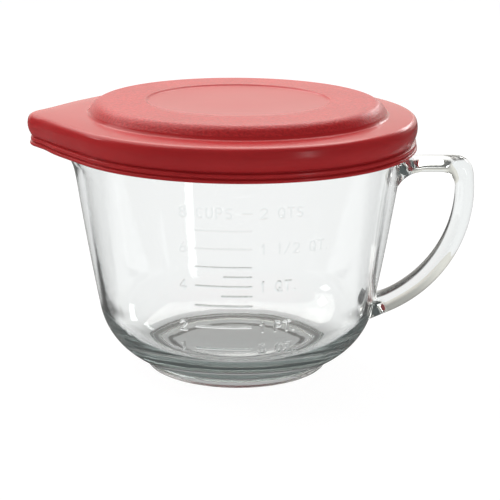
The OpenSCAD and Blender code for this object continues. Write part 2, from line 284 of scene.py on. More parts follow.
def makeBowlShell():
    # each ring follows the plan at its own radius and height
    profile = bowlProfile()
    angle = planColumns(*bowl["columns"])
    radius, height = profile[:, :1], profile[:, 1:]
    share = spoutShare(height)
    inside = smoothStep(bowl["spoutStart"], taperHeight, height) * plan["standsBack"]
    reach = planReach(angle[None, :], np.broadcast_to(radius, (len(profile), len(angle))), share)
    reach = reach - inside * smoothStep(*plan["leaves"], reach - radius)
    rings = np.stack(
        [reach * np.cos(angle), reach * np.sin(angle), np.broadcast_to(height, reach.shape)], axis=-1)
    return closedRings("glassBowl", rings, [0, 0, bowl["footHollow"]], [0, 0, bowl["floorHeight"]])


def handleLine(name, out, top, webHeight, depth):
    # the handle's outer or inner edge: along the bar, round the corner, and down the sweep until it has gone
    # the given share of the wall's thickness into the glass; a web bends the bar down towards the wall
    radius, corner = handle[name + "Radius"], handle[name + "Corner"]
    centre = (out - radius, handle[name + "Centre"])
    arm = radius - corner
    turn = np.arcsin((top - corner - centre[1]) / arm)
    bend = (centre[0] + arm * cos(turn), centre[1] + arm * sin(turn))
    barLow = handle["topHeight"] - handle["barThickness"]
    root = wallRadius(barLow - handle["webHeight"]) - bowl["wallThickness"] / 2
    web = wallRadius(barLow) + handle["web"]
    barSteps, cornerSteps, sweepSteps = handle["steps"]
    bar = np.linspace(root, bend[0], barSteps)
    into = np.clip((web - bar) / (web - root), 0.0, 1.0)
    turns = np.arange(*handle["endTurns"])
    x = centre[0] + radius * np.cos(np.radians(turns))
    z = centre[1] + radius * np.sin(np.radians(turns))
    end = turns[np.argmax(x < outerGlassRadius(z) - depth * bowl["wallThickness"])]
    return np.concatenate([
        np.column_stack([bar, top - webHeight * (1.0 - np.sqrt(1.0 - into ** 2))]),
        arcPoints(bend, corner, 90, degrees(turn), cornerSteps)[1:],
        arcPoints(centre, radius, degrees(turn), end, sweepSteps)[1:]])


def makeHandle():
    # a superellipse section between the two edges
    reach, top, depth = handle["reach"], handle["topHeight"], handle["rootDepth"]
    outer = handleLine("outer", reach, top, 0.0, depth[0])
    inner = handleLine("inner", reach - handle["thickness"], top - handle["barThickness"],
                       handle["webHeight"], depth[1])
    middle, half = (outer + inner) / 2, (outer - inner) / 2
    gap = middle[:, 0] - outerGlassRadius(middle[:, 1])
    spread = handle["flare"] * np.clip(1.0 - gap / handle["flareLength"], 0.0, handle["flareLimit"]) ** 2
    around = 2 * pi * (np.arange(handle["around"]) + 0.5) / handle["around"]
    up = np.sign(np.cos(around)) * np.abs(np.cos(around)) ** handle["power"]
    side = np.sign(np.sin(around)) * np.abs(np.sin(around)) ** handle["power"]
    rings = np.empty((len(middle), len(around), 3))
    rings[:, :, 0] = middle[:, :1] + half[:, :1] * up
    rings[:, :, 1] = (handle["width"] / 2 + spread)[:, None] * side
    rings[:, :, 2] = middle[:, 1:] + half[:, 1:] * up
    first, last = rings[0].mean(axis=0), rings[-1].mean(axis=0)
    return closedRings("handleLoop", rings, first, last)


# The raised scale: lines and labels as strokes on the unrolled wall

scale = {
    "cup": 61.848 ** 3,       # mm3, a US cup
    "proud": 0.3,             # mm that a stroke stands out
    "lineWidth": 0.75,        # mm
    "letterWidth": 0.95,      # mm
    "letterHeight": 5.5,      # mm
    "letterRatio": 0.62,      # width over height
    "letterGap": 1.7,         # mm between letters
    "softEdge": 0.3,          # mm
    "left": 22.0,             # mm, the lines' long end
    "right": 7.6,             # mm, the lines' other end
    "labelLeft": -30.8,       # mm
    "labelRight": 12.0,       # mm
    "cuts": 12,               # new edges across each cell of the wall next to a stroke
    "cutReach": 3.4,          # mm from such a cell's middle to the stroke
    "cellGap": 1.0,           # mm from the outer surface that a cell's middle may lie
    "pointGap": 0.5,          # mm from the outer surface that a point may lie
    "frontDepth": 30.0,       # mm in front of the axis where the cells that may be cut begin
    "halfTurn": 0.62,         # radians from the front middle to the end of what is laid on the true surface
    "zone": (22.0, 118.0),    # mm, heights of the same
    "slices": 1500,           # thin discs that the volume is summed by
}
letterShares = {" ": 0.75, ".": 0.2, "1": 0.75}  # widths of the narrow ones, as shares of a letter's
farAway = 99.0  # mm, where no stroke is near

# cups held, left end of its line as a share of the longest, label on the left, label on the right
marks = [
    (8, -0.12, "8 CUPS", "2 QTS."), (7, 1, "", ""), (6, 1, "6", "1 1/2 QT."), (5, 1, "", ""),
    (4.5, 0.32, "", ""), (4, 1, "4", "1 QT."), (3.5, 0.36, "", ""), (3, 1, "", ""), (2, 1, "2", "1 PT."),
    (1, 1, "1", "8 OZ."),
]


def bend(x, y, rx, ry, start, end, steps=8):
    # part of an ellipse as a row of points, in letter units
    turn = np.radians(np.linspace(start, end, steps + 1))
    return [(x + rx * cos(t), y + ry * sin(t)) for t in turn]


# Each letter is a list of strokes in a box one unit wide and one high
letters = {
    "1": [[(0.3, 0.8), (0.55, 1), (0.55, 0)]],
    "2": [bend(0.5, 0.72, 0.45, 0.28, 165, -30) + [(0.05, 0), (0.98, 0)]],
    "4": [[(0.72, 0), (0.72, 1), (0.05, 0.3), (1, 0.3)]],
    "6": [bend(0.5, 0.3, 0.45, 0.3, 0, 360, 14), [(0.07, 0.38), (0.25, 0.75), (0.7, 1)]],
    "8": [bend(0.5, 0.27, 0.45, 0.27, 0, 360, 14), bend(0.5, 0.77, 0.38, 0.23, 0, 360, 14)],
    "C": [bend(0.55, 0.5, 0.5, 0.5, 50, 310, 14)],
    "O": [bend(0.5, 0.5, 0.48, 0.5, 0, 360, 16)],
    "P": [[(0.1, 0), (0.1, 1), (0.55, 1)] + bend(0.55, 0.75, 0.4, 0.25, 90, -90) + [(0.1, 0.5)]],
    "Q": [bend(0.5, 0.5, 0.48, 0.5, 0, 360, 16), [(0.6, 0.3), (0.98, -0.05)]],
    "S": [bend(0.5, 0.75, 0.42, 0.25, 40, 270, 9) + bend(0.5, 0.25, 0.42, 0.25, 90, -140, 9)],
    "T": [[(0, 1), (1, 1)], [(0.5, 1), (0.5, 0)]],
    "U": [[(0.08, 1), (0.08, 0.35)] + bend(0.5, 0.35, 0.42, 0.35, 180, 360) + [(0.92, 1)]],
    "Z": [[(0.05, 1), (0.95, 1), (0.05, 0), (0.95, 0)]],
    "/": [[(0.1, 0), (0.9, 1)]],
    ".": [[(0.1, 0), (0.16, 0)]],
    " ": [],
}


def cupHeights():
    # height of the surface when the bowl holds each number of cups, by summing thin discs
    height = np.linspace(bowl["floorHeight"], bowl["rimHeight"], scale["slices"])
    top, lean, flat = insideCorner(bowl["insideRadius"])
    reach = bowl["insideRadius"] ** 2 - (height - bowl["floorHeight"] - bowl["insideRadius"]) ** 2
    corner = flat + np.sqrt(np.clip(reach, 0.0, None))
    inner = np.where(height < top, corner, wallRadius(height) - bowl["wallThickness"])
    area = pi * inner ** 2
    held = np.concatenate([[0.0], np.cumsum((area[1:] + area[:-1]) / 2 * np.diff(height))])
    return {mark[0]: float(np.interp(mark[0] * scale["cup"], held, height)) for mark in marks}


def labelStrokes(text, left, middle):
    # the letters' strokes in millimetres along the wall, with their middle at the line's height
    strokes = []
    width = scale["letterHeight"] * scale["letterRatio"]
    for letter in text:
        for stroke in letters[letter]:
            points = np.array(stroke) * [width, scale["letterHeight"]]
            strokes.append(points + [left, middle - scale["letterHeight"] / 2])
        left += width * letterShares.get(letter, 1.0) + scale["letterGap"]
    return strokes


def scaleStrokes():
    # every line and letter stroke with its width, along the wall from the front and up from the table
    level = cupHeights()
    strokes = []
    for cups, share, leftText, rightText in marks:
        line = np.array([[-scale["left"] * share, level[cups]], [scale["right"], level[cups]]])
        strokes.append((line, scale["lineWidth"]))
        for text, left in ((leftText, scale["labelLeft"]), (rightText, scale["labelRight"])):
            strokes += [(stroke, scale["letterWidth"]) for stroke in labelStrokes(text, left, level[cups])]
    return strokes


def strokeGap(place, stroke, reach):
    # the places within reach of a chain of straight steps, and the distance of each from it
    low, high = stroke.min(axis=0) - reach, stroke.max(axis=0) + reach
    near = np.flatnonzero(np.all((place > low) & (place < high), axis=1))
    best = np.full(len(near), farAway)
    for start, end in zip(stroke[:-1], stroke[1:]):
        step = end - start
        share = np.clip((place[near] - start) @ step / max(step @ step, 1e-6), 0.0, 1.0)
        best = np.minimum(best, np.linalg.norm(place[near] - start - share[:, None] * step, axis=1))
    return near, best


def scaleRelief(place, strokes):
    # how far each place stands proud: highest on a stroke's middle line, with a soft edge at half its width
    relief = np.zeros(len(place))
    for stroke, width in strokes:
        half = width / 2
        near, gap = strokeGap(place, stroke, half + scale["softEdge"])
        raised = 1.0 - smoothStep(half - scale["softEdge"], half + scale["softEdge"], gap)
        relief[near] = np.maximum(relief[near], raised)
    return relief * scale["proud"]


def unrolled(points):
    # the distance along the wall from the front middle, the height, and the wall's radius there
    place = np.array(points) / mm
    turn = np.arctan2(place[:, 0], -place[:, 1])
    radius = outerGlassRadius(place[:, 2])
    return np.column_stack([turn * radius, place[:, 2]]), turn, radius


def raiseScale(piece):
    # the cells of the outer wall next to a stroke are cut fine, laid on the true surface and raised; the
    # attribute "raised" keeps for the material how far each point stands up, from 0 to 1
    work = bmesh.new()
    work.from_mesh(piece.data)
    strokes = scaleStrokes()
    front = -scale["frontDepth"] * mm
    quads = [face for face in work.faces if len(face.verts) == 4 and face.calc_center_median().y < front]
    middles = [face.calc_center_median() for face in quads]
    place, turn, radius = unrolled(middles)
    reach = np.linalg.norm(np.array(middles)[:, :2], axis=1) / mm
    close = np.full(len(quads), farAway)
    for stroke, width in strokes:
        near, gap = strokeGap(place, stroke, scale["cutReach"])
        close[near] = np.minimum(close[near], gap)
    outside = (np.abs(reach - radius) < scale["cellGap"]) & (close < scale["cutReach"])
    patch = [face for face, wanted in zip(quads, outside) if wanted]
    edges = list({edge for face in patch for edge in face.edges})
    bmesh.ops.subdivide_edges(work, edges=edges, cuts=scale["cuts"], use_grid_fill=True)
    work.to_mesh(piece.data)
    work.free()
    points = np.empty(len(piece.data.vertices) * 3)
    piece.data.vertices.foreach_get("co", points)
    points = points.reshape(-1, 3)
    place, turn, radius = unrolled(points)
    gap = np.abs(np.hypot(points[:, 0], points[:, 1]) / mm - radius)
    low, high = scale["zone"]
    wall = (gap < scale["pointGap"]) & (np.abs(turn) < scale["halfTurn"])
    wall = wall & (place[:, 1] > low) & (place[:, 1] < high)
    relief = scaleRelief(place[wall], strokes)
    reach = (radius[wall] + relief) * mm
    points[wall, 0] = reach * np.sin(turn[wall])
    points[wall, 1] = -reach * np.cos(turn[wall])
    piece.data.vertices.foreach_set("co", points.ravel())
    raised = np.zeros(len(points))
    raised[wall] = relief / scale["proud"]
    piece.data.attributes.new("raised", "FLOAT", "POINT").data.foreach_set("value", raised)
    piece.data.update()
    return len(patch)


glassBowl = makeBowlShell()
handleLoop = makeHandle()
join = glassBowl.modifiers.new("joinHandle", "BOOLEAN")
join.operation = "UNION"
join.solver = "EXACT"
join.object = handleLoop
applyModifier(glassBowl, join)
bpy.data.objects.remove(handleLoop)
patchCells = raiseScale(glassBowl)
glassBowl.data.shade_smooth()
print("glass bowl:", len(glassBowl.data.vertices), "points,", patchCells, "cells behind the scale")


# The lid

lid = {
    "gap": 0.35,              # mm between flange and rim
    "sheet": 1.8,             # mm thick
    "skirt": 18.8,            # mm high
    "shoulder": 3.3,          # mm radius
    "deckFall": 0.7,          # mm from the panel's foot to the shoulder
    "flange": 15.1,           # mm wide
    "slope": 2.3,             # mm from foot to where the rounded edge would end if it were a corner
    "panelHeight": 7.1,       # mm over the flange
    "panelRound": 8.0,        # mm
    "slopeAngle": 54.0,       # degrees from the flange
    "recessRadius": 51.8,     # mm
    "recessDepth": 1.0,       # mm
    "recessEdge": (0.9, 0.5), # mm inside and outside its radius, foot and top of its edge
    "recessSoft": 0.8,        # mm, corners of that edge
    "recessRings": (8, 14, 20),   # mm, radii
    "panelRings": (60, 66, 72),   # mm, radii
    "panelEnds": (4, 1.5),    # mm outside the recess and inside the panel's round, rings on the flat
    "underRings": (70, 30, 10),   # mm, radii on the underside
    "underRecess": (1, -1),   # mm outside the recess, where its edge lies on the underside
    "underFlange": 4,         # mm outside the panel's foot, a ring there
    "panelSteps": (9, 7),     # points on the round at the panel's edge and at its foot
    "deckRings": ((1.2, 0.0), (5.0, 0.3)),  # mm out of the panel's foot, share of the fall
    "deckEnd": (2.0, 0.8),    # mm inside the shoulder, share of the fall
    "deckShares": (0.12, 0.5, 1.0),  # of the spout, that the deck's rings follow
    "underShares": (0.4, 0.0),    # of the spout, that the flange's rings on the underside follow
    "shoulderArc": (87, 3, 10),   # degrees from and to, points
    "skirtTop": (0.2, 0.5),   # mm out of the skirt's round, mm under the shoulder
    # the skirt bellies out a little and runs in to a waist; two grooves lie between it and the rolled edge
    "belly": ((0.4, 6.2), (0.3, 8.0), (-0.1, 10.0)),  # mm out of the skirt's round, mm under the flange
    "waist": ((-0.7, 7.2), (-1.2, 6.2)),  # mm out of the skirt's round, mm over its lower edge
    "lip": ((-1.35, 5.7), (-1.9, 5.4), (-1.9, 5.0), (-0.2, 4.5), (-0.1, 2.8), (-0.95, 2.4),
            (-0.95, 2.0), (0.35, 1.6), (0.4, 0.6), (-0.1, 0.0)),  # the same
    "lipSoft": 0.3,           # mm, its corners
    "snapHeights": (1.8, 3.8, 6.0),  # mm over the lower edge, ends of the snap ridge and of its slope
    "snapSoft": 0.45,         # mm, its corners
    "leadIn": 0.7,            # mm, at the skirt's lower edge
    "skirtGap": 1.0,          # mm outside the bead
    "snapGap": 0.58,          # mm outside the bead
    "insideRings": 12,        # of the skirt, which the pull at the tip leaves out
    "tipPull": (1.0, 2.1),    # mm that skirt and lip stand further back at the spout's tip
    "pullTurns": (6.0, 4.5),  # mm over the lower edge between which the one turns into the other
    "tipDrop": 0.7,           # mm that the deck falls to the spout's tip
    "dropFrom": (88.0, 120.0),    # mm towards the tip over which it does
    "columns": (1.6, 1.0, 0.3),   # degrees between columns: round, at the spout and at its tip
}
lidUnder = bowl["rimHeight"] + lid["gap"]
flangeTop = lidUnder + lid["sheet"]
skirtLow = flangeTop - lid["skirt"]
skirtInner = rimOuter + lid["skirtGap"]
lidOuter = plan["lidRadius"]
panelFoot = lidOuter - lid["flange"]
panelEdge = panelFoot - lid["slope"]
panelTop = flangeTop + lid["panelHeight"]
recessTop = panelTop - lid["recessDepth"]


def softCorners(points, radius, steps=4, most=0.45):
    # each inner corner of a chain of points becomes a small curve that takes up radius of the step at either
    # side of it, or the given share of a short step
    points = np.asarray(points, float)
    out = [points[0]]
    for before, corner, after in zip(points[:-2], points[1:-1], points[2:]):
        back, ahead = before - corner, after - corner
        cut = min(radius, most * np.linalg.norm(back), most * np.linalg.norm(ahead))
        start = corner + back / np.linalg.norm(back) * cut
        end = corner + ahead / np.linalg.norm(ahead) * cut
        for share in np.linspace(0.0, 1.0, steps):
            out.append((1 - share) ** 2 * start + 2 * share * (1 - share) * corner + share ** 2 * end)
    out.append(points[-1])
    return np.array(out)


def lidProfile():
    # rings from the middle of the panel out to the lip, and back along the underside: radius, height, the
    # share of the spout that the ring follows, and how far it stands back at the spout's tip
    sheet, fall, edge = lid["sheet"], lid["deckFall"], lid["panelRound"]
    recess, slope = lid["recessRadius"], lid["slopeAngle"]
    panel = np.concatenate([
        [[r, recessTop] for r in lid["recessRings"][:-1]],
        softCorners([
            [lid["recessRings"][-1], recessTop], [recess - lid["recessEdge"][0], recessTop],
            [recess + lid["recessEdge"][1], panelTop], [recess + lid["panelEnds"][0], panelTop]],
            lid["recessSoft"]),
        [[r, panelTop] for r in (*lid["panelRings"], panelEdge - edge - lid["panelEnds"][1])],
        arcPoints((panelEdge - edge, panelTop - edge), edge, 90, 90 - slope, lid["panelSteps"][0]),
        arcPoints((panelFoot, flangeTop + sheet), sheet, 270 - slope, 270, lid["panelSteps"][1])])
    middle = np.array([lidOuter - lid["shoulder"], flangeTop - fall - lid["shoulder"]])
    deck = [[panelFoot + out, flangeTop - share * fall] for out, share in lid["deckRings"]]
    deck.append([middle[0] - lid["deckEnd"][0], flangeTop - lid["deckEnd"][1] * fall])
    shoulder = arcPoints(middle, lid["shoulder"], *lid["shoulderArc"])
    belly = np.array(
        [[lid["skirtTop"][0], middle[1] - lid["skirtTop"][1]]]
        + [[out, flangeTop - down] for out, down in lid["belly"]]
        + [[out, skirtLow + up] for out, up in lid["waist"]])
    lip = np.concatenate([belly[-1:], [[out, skirtLow + up] for out, up in lid["lip"]]])
    snapLow, snapHigh, slopeEnd = lid["snapHeights"]
    inside = np.array([
        [skirtInner + lid["leadIn"], skirtLow], [rimOuter + lid["snapGap"], skirtLow + snapLow],
        [rimOuter + lid["snapGap"], skirtLow + snapHigh], [skirtInner, skirtLow + slopeEnd],
        [skirtInner, lidUnder - sheet - 1]])
    skirt = np.concatenate([
        belly + [lidOuter, 0.0], softCorners(lip + [lidOuter, 0.0], lid["lipSoft"])[1:],
        softCorners(inside, lid["snapSoft"])])
    corner = arcPoints((skirtInner - sheet, lidUnder - sheet), sheet, 0, 90, 5)
    inner = np.concatenate([
        [[panelFoot + lid["underFlange"], lidUnder], [panelFoot, lidUnder]],
        arcPoints((panelEdge - edge, panelTop - edge - sheet / 2), edge - sheet / 2, 90 - slope, 90, 6),
        [[r, panelTop - sheet] for r in (lid["underRings"][0], recess + lid["underRecess"][0])],
        [[r, recessTop - sheet] for r in (recess + lid["underRecess"][1], *lid["underRings"][1:])]])
    chain = np.concatenate([panel, deck, shoulder, skirt, corner, inner])
    share = np.concatenate([
        np.zeros(len(panel)), lid["deckShares"], np.ones(len(shoulder) + len(skirt) + len(corner)),
        lid["underShares"], np.zeros(len(inner) - len(lid["underShares"]))])
    outer = np.arange(len(chain)) < len(panel) + len(deck) + len(shoulder) + len(skirt) - lid["insideRings"]
    high, low = lid["pullTurns"]
    turned = smoothStep(skirtLow + high, skirtLow + low, chain[:, 1])
    pull = outer * share * (lid["tipPull"][0] + (lid["tipPull"][1] - lid["tipPull"][0]) * turned)
    return chain[:, :1], chain[:, 1:], share[:, None], pull[:, None]


def makeLid():
    # each ring follows the plan at its own radius, stands back at the tip, and the deck falls towards it
    radius, height, share, pull = lidProfile()
    angle = planColumns(*lid["columns"])
    shape = (len(radius), len(angle))
    reach = planReach(angle[None, :], np.broadcast_to(radius, shape), share)
    reach = reach - (plan["standsBack"] * share + pull) * smoothStep(*plan["leaves"], reach - radius)
    x, y = reach * np.cos(angle), reach * np.sin(angle)
    high = smoothStep(skirtLow + lid["pullTurns"][0], flangeTop, height)
    drop = lid["tipDrop"] * smoothStep(*lid["dropFrom"], -x) * high * share
    return closedRings("pushOnLid", np.stack([x, y, height - drop], axis=-1),
                       [0, 0, recessTop], [0, 0, recessTop - lid["sheet"]])


def turnOutwards(piece):
    # every face of a closed mesh is turned to point out of it
    work = bmesh.new()
    work.from_mesh(piece.data)
    bmesh.ops.recalc_face_normals(work, faces=work.faces)
    work.to_mesh(piece.data)
    work.free()


pushOnLid = makeLid()
turnOutwards(pushOnLid)
turnOutwards(glassBowl)
print("lid:", len(pushOnLid.data.vertices), "points")


# Materials

glassFinish = {
    "colour": (0.992, 0.997, 0.996, 1.0),
    "paintedStrokeShade": (0.86, 0.88, 0.88, 1.0),  # painted shade: the scale's strokes are tinted greyer than the wall
    "ior": 1.5,
    "absorb": (0.50, 0.56, 0.55, 1.0),
    "density": 18.0,          # per metre
    "paintedGlow": (0.104, 0.108, 0.108, 1.0),  # painted light: colour of the glow the glass gives off along a long way inside it
    "footRoughness": 0.5,     # of the ring that stands on the table
    "footFade": (0.1, 0.4),   # mm high, where it turns into the polished rest
    "waveSize": 55.0,         # waves a metre
    "grainSize": 400.0,       # grains a metre
    "grain": 0.0,             # share of the grain in the bump
    "waviness": 0.05,         # bump strength of the mould's slow waves
    "bumpDepth": 1.0,         # mm
}

lidFinish = {
    "light": (0.65, 0.038, 0.042, 1.0),
    "dark": (0.56, 0.026, 0.031, 1.0),
    "roughness": (0.22, 0.31),    # of the smooth parts and of the grained ring
    "specular": 0.28,
    "waveSize": 24.0,         # waves a metre
    "grainSize": 760.0,       # grains a metre
    "grain": 0.85,            # share of the grain in the bump
    "strength": (0.04, 0.36), # of the bump, on the smooth parts and on the grained ring
    "bumpDepth": 0.7,         # mm
    "paintedSpeckle": 0.17,          # painted light and shade: how much lighter and darker the grain is painted than the rest
    "grainRange": (0.3, 0.7), # what the grain's noise runs from and to
    "ringStart": (0.0, 0.8),  # mm outside the recess, where the grained ring begins
    "sideStart": (1.2, 2.4),  # mm over the flange, where the grain begins on the panel's side
}
white = (1.0, 1.0, 1.0, 1.0)


def socketMix(nodes, link, factor, low, high):
    # low where the factor is 0 and high where it is 1; low and high are sockets or plain numbers
    mix = nodes.new("ShaderNodeMix")
    link(factor, mix.inputs["Factor"])
    for name, value in (("A", low), ("B", high)):
        if isinstance(value, float):
            mix.inputs[name].default_value = value
        else:
            link(value, mix.inputs[name])
    return mix.outputs["Result"]


def colourMix(nodes, link, factor, low, high):
    # the same for two plain colours; sockets 6, 7 and 2 are the node's A, B and Result for colours
    mix = nodes.new("ShaderNodeMix")
    mix.data_type = "RGBA"
    mix.inputs[6].default_value = low
    mix.inputs[7].default_value = high
    link(factor, mix.inputs["Factor"])
    return mix.outputs[2]


def socketRamp(nodes, link, value, ends, levels, smooth=True):
    # from the first level to the second between the two ends, as a smooth step or a straight line
    ramp = nodes.new("ShaderNodeMapRange")
    ramp.interpolation_type = "SMOOTHSTEP" if smooth else "LINEAR"
    ramp.inputs["From Min"].default_value, ramp.inputs["From Max"].default_value = ends
    ramp.inputs["To Min"].default_value, ramp.inputs["To Max"].default_value = levels
    link(value, ramp.inputs["Value"])
    return ramp.outputs["Result"]


def joined(nodes, link, operation, *terms):
    # sockets or plain numbers put through one step of arithmetic
    step = nodes.new("ShaderNodeMath")
    step.operation = operation
    for place, term in enumerate(terms):
        if isinstance(term, float):
            step.inputs[place].default_value = term
        else:
            link(term, step.inputs[place])
    return step.outputs["Value"]


def objectPlace(nodes, link):
    # the point in the object's coordinates, and its X, Y and Z
    place = nodes.new("ShaderNodeTexCoord").outputs["Object"]
    parts = nodes.new("ShaderNodeSeparateXYZ")
    link(place, parts.inputs["Vector"])
    return place, parts.outputs


def makeMouldWaves():
    # slow waves and fine grain of a moulded surface, as a height and a mottle between 0 and 1
    group = bpy.data.node_groups.new("mouldWaves", "ShaderNodeTree")
    for name in ("Wave size", "Grain size", "Grain"):
        group.interface.new_socket(name=name, in_out="INPUT", socket_type="NodeSocketFloat")
    for name in ("Height", "Mottle"):
        group.interface.new_socket(name=name, in_out="OUTPUT", socket_type="NodeSocketFloat")
    nodes, link = group.nodes, group.links.new
    given, result = nodes.new("NodeGroupInput"), nodes.new("NodeGroupOutput")
    place = nodes.new("ShaderNodeTexCoord")
    noises = []
    for size, detail in (("Wave size", 2.0), ("Grain size", 1.0)):
        noise = nodes.new("ShaderNodeTexNoise")
        noise.inputs["Detail"].default_value = detail
        link(place.outputs["Object"], noise.inputs["Vector"])
        link(given.outputs[size], noise.inputs["Scale"])
        noises.append(noise.outputs["Fac"])
    link(socketMix(nodes, link, given.outputs["Grain"], *noises), result.inputs["Height"])
    link(noises[0], result.inputs["Mottle"])
    return group


mouldWaves = makeMouldWaves()


def newMaterial(name):
    material = bpy.data.materials.new(name)
    material.use_nodes = True
    nodes = material.node_tree.nodes
    return material, nodes, material.node_tree.links.new, nodes["Principled BSDF"], nodes["Material Output"]


def addWaves(nodes, finish):
    waves = nodes.new("ShaderNodeGroup")
    waves.node_tree = mouldWaves
    waves.inputs["Wave size"].default_value = finish["waveSize"]
    waves.inputs["Grain size"].default_value = finish["grainSize"]
    waves.inputs["Grain"].default_value = finish["grain"]
    return waves


def addBump(nodes, link, shader, height, strength, depth):
    bump = nodes.new("ShaderNodeBump")
    bump.inputs["Strength"].default_value = strength
    bump.inputs["Distance"].default_value = depth * mm
    link(height, bump.inputs["Height"])
    link(bump.outputs["Normal"], shader.inputs["Normal"])


def makeGlassMaterial():
    # clear glass with the mould's slow waves, a matt foot ring, painted grey shade on the strokes, a tint in
    # its depth and a painted glow
    material, nodes, link, shader, output = newMaterial("pressedGlass")
    # painted shade: the raised strokes get a greyer colour than the wall
    raised = nodes.new("ShaderNodeAttribute")
    raised.attribute_name = "raised"
    link(colourMix(nodes, link, raised.outputs["Fac"], glassFinish["colour"], glassFinish["paintedStrokeShade"]),
         shader.inputs["Base Color"])
    parts = objectPlace(nodes, link)[1]
    fade = [height * mm for height in glassFinish["footFade"]]
    link(socketRamp(nodes, link, parts["Z"], fade, (glassFinish["footRoughness"], 0.0), smooth=False),
         shader.inputs["Roughness"])
    shader.inputs["IOR"].default_value = glassFinish["ior"]
    shader.inputs["Transmission Weight"].default_value = 1.0
    waves = addWaves(nodes, glassFinish)
    addBump(nodes, link, shader, waves.outputs["Height"], glassFinish["waviness"], glassFinish["bumpDepth"])
    absorb = nodes.new("ShaderNodeVolumeAbsorption")
    absorb.inputs["Color"].default_value = glassFinish["absorb"]
    absorb.inputs["Density"].default_value = glassFinish["density"]
    # painted light: the glass glows along long paths inside it in place of more bounces; glow a metre =
    # absorbed * colour
    paintedGlow = nodes.new("ShaderNodeEmission")
    paintedGlow.inputs["Color"].default_value = glassFinish["paintedGlow"]
    paintedGlow.inputs["Strength"].default_value = glassFinish["density"] * (1.0 - glassFinish["absorb"][1])
    both = nodes.new("ShaderNodeAddShader")
    link(absorb.outputs["Volume"], both.inputs[0])
    link(paintedGlow.outputs["Emission"], both.inputs[1])
    link(both.outputs["Shader"], output.inputs["Volume"])
    return material


def makeLidMaterial():
    # the raised panel's ring and side are grained, and its recess, deck and skirt are smooth
    material, nodes, link, shader = newMaterial("redMouldedPlastic")[:4]
    parts = objectPlace(nodes, link)[1]
    flat = nodes.new("ShaderNodeCombineXYZ")
    link(parts["X"], flat.inputs["X"])
    link(parts["Y"], flat.inputs["Y"])
    reach = nodes.new("ShaderNodeVectorMath")
    reach.operation = "LENGTH"
    link(flat.outputs["Vector"], reach.inputs[0])
    ringStart = [(lid["recessRadius"] + out) * mm for out in lidFinish["ringStart"]]
    sideStart = [(flangeTop + up) * mm for up in lidFinish["sideStart"]]
    grained = joined(nodes, link, "MULTIPLY",
                     socketRamp(nodes, link, reach.outputs["Value"], ringStart, (0.0, 1.0)),
                     socketRamp(nodes, link, parts["Z"], sideStart, (0.0, 1.0)))

    waves = addWaves(nodes, lidFinish)
    strength = socketRamp(nodes, link, grained, (0.0, 1.0), lidFinish["strength"], smooth=False)
    height = joined(nodes, link, "MULTIPLY", waves.outputs["Height"], strength)
    addBump(nodes, link, shader, height, 1.0, lidFinish["bumpDepth"])

    # a slow mottle between two reds, and on the grained ring a painted fleck of light and shade: 1 + speckle
    # * (grain about its mean)
    tone = colourMix(nodes, link, waves.outputs["Mottle"], lidFinish["dark"], lidFinish["light"])
    paintedGrainLight = socketRamp(nodes, link, waves.outputs["Height"], lidFinish["grainRange"],
                       (-lidFinish["paintedSpeckle"], lidFinish["paintedSpeckle"]), smooth=False)
    value = joined(nodes, link, "ADD", joined(nodes, link, "MULTIPLY", paintedGrainLight, grained), 1.0)
    paintedGrainTone = nodes.new("ShaderNodeHueSaturation")
    link(value, paintedGrainTone.inputs["Value"])
    link(tone, paintedGrainTone.inputs["Color"])
    link(paintedGrainTone.outputs["Color"], shader.inputs["Base Color"])

    link(socketRamp(nodes, link, grained, (0.0, 1.0), lidFinish["roughness"], smooth=False),
         shader.inputs["Roughness"])
    shader.inputs["Specular IOR Level"].default_value = lidFinish["specular"]
    return material


glassBowl.data.materials.clear()
glassBowl.data.materials.append(makeGlassMaterial())
pushOnLid.data.materials.append(makeLidMaterial())

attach(glassBowl, "bowl")
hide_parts("glass_bowl")
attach(pushOnLid, "lid")
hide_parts("lid")
print("materials and bodies set")


# Studio: a white floor, a white surround for what looks straight at it, soft lamps and the camera

studio = {
    "floorColour": 0.8,       # as a matt floor
    "floorMirrored": 0.15,    # and in reflections
    "floorRoughness": 0.9,
    "floorGlow": 0.88,        # share of plain white that a camera ray sees
    "glowStrength": 1.1,
    "throughGlass": 1.07,     # the floor's strength to a ray that has gone through glass
    "underBowl": 0.48,        # and under the bowl
    "bowlShade": (0.048, 0.085),  # m from the axis over which it turns from the one to the other
    # m from the axis, where each dark edge of the shade under the foot begins, is full, fades and ends
    "ringShades": ((0.0370, 0.0390, 0.0405, 0.0425), (0.0470, 0.0490, 0.0510, 0.0530)),
    "underRing": 0.15,        # share of the light that is left there
    "litSector": (0.82, 1.00),    # radians to either side of straight back where the lit floor ends
    "litFront": (1.40, 1.60), # and where it begins again towards the camera
    "nearBowl": (0.082, 0.110),   # m from the axis within which all of it is lit
    "farFloor": (0.40, 0.60), # m from the axis beyond which all of it is lit
    "outOfLight": 0.05,       # strength of the rest
    "floorSize": 6.0,         # m
    "floorLow": 0.2,          # mm under the foot, so that the two faces don't flicker
    "ambient": 0.2,           # strength of the surround as light on matt surfaces
    "beyondGlass": (0.9, 0.42),   # as seen through glass, at the horizon and higher up
    "horizon": (0.02, 0.24),  # height over which it turns from the one to the other
    "towardsCamera": 0.2,     # share of it that is left on the camera's side
    "rearward": (-0.3, 0.95), # how far to the back it turns into the whole
    "front": 0.05,            # in reflections, on the camera's side
    "back": 1.04,             # in reflections, behind the bowl
    "backColour": (1.0, 0.975, 0.90, 1.0),
    "edges": (0.45, 0.92),    # how far to the back the one turns into the other
    "bounces": 24,
}


